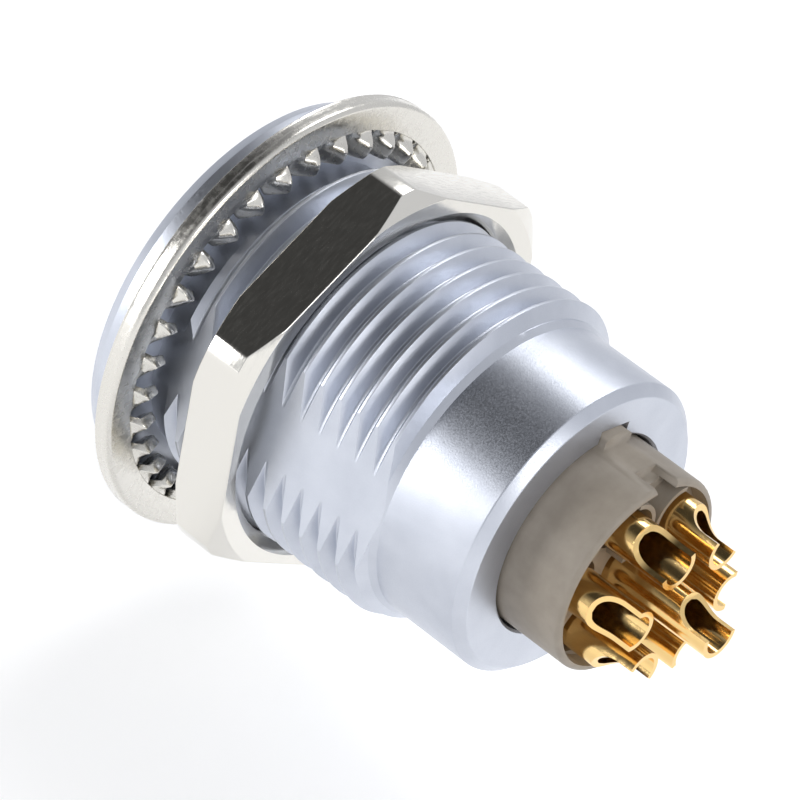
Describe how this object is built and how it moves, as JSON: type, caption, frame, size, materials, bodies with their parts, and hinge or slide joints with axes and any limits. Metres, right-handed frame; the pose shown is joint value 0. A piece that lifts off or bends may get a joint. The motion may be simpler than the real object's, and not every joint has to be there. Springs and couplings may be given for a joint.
{
  "type": "push pull circular connector",
  "caption": "Round push-pull panel receptacle with a flanged threaded shell, hexagon nut, toothed lock washer and scooped solder cups in a moulded insulator.",
  "frame": {"origin": "on the shell's axis, in the plane of the flange's rear face, which meets the panel", "axes": "+Y along the axis towards the solder cups, +Z towards the key, so the mating mouth faces -Y"},
  "size_m": [0.02, 0.026, 0.02],
  "materials": {
    "satin_shell": "matt chrome plating over a bead-blasted surface",
    "nickel_washer": "bright nickel plating",
    "nickel_nut": "bright nickel plating",
    "inner_nickel": "nickel plating",
    "insulator": "fine matt moulded",
    "gold_contact": "polished gold plating"
  },
  "bodies": {
    "connector": {"outer_shell": "satin_shell", "insulator": "insulator", "retaining_ring": "inner_nickel", "earthing_crown": "inner_nickel", "contact_1": "gold_contact", "contact_2": "gold_contact", "contact_3": "gold_contact", "contact_4": "gold_contact", "contact_5": "gold_contact", "contact_6": "gold_contact", "contact_7": "gold_contact"},
    "washer": {"lock_washer": "nickel_washer"},
    "nut": {"hex_nut": "nickel_nut"}
  },
  "joints": [
    {"name": "washer_slide", "type": "slide", "parent": "connector", "child": "washer", "axis": [0, 1, 0], "range_m": [0, 0.00801]},
    {"name": "nut_turn", "type": "hinge", "parent": "washer", "child": "nut", "pos_m": [0, 0, 0], "axis": [0, 1, 0], "range_deg": [0, 2880]}
  ],
  "couplings": [
    {"joint": "washer_slide", "follows": "nut_turn", "m_per_rad": 0.00015915}
  ]
}
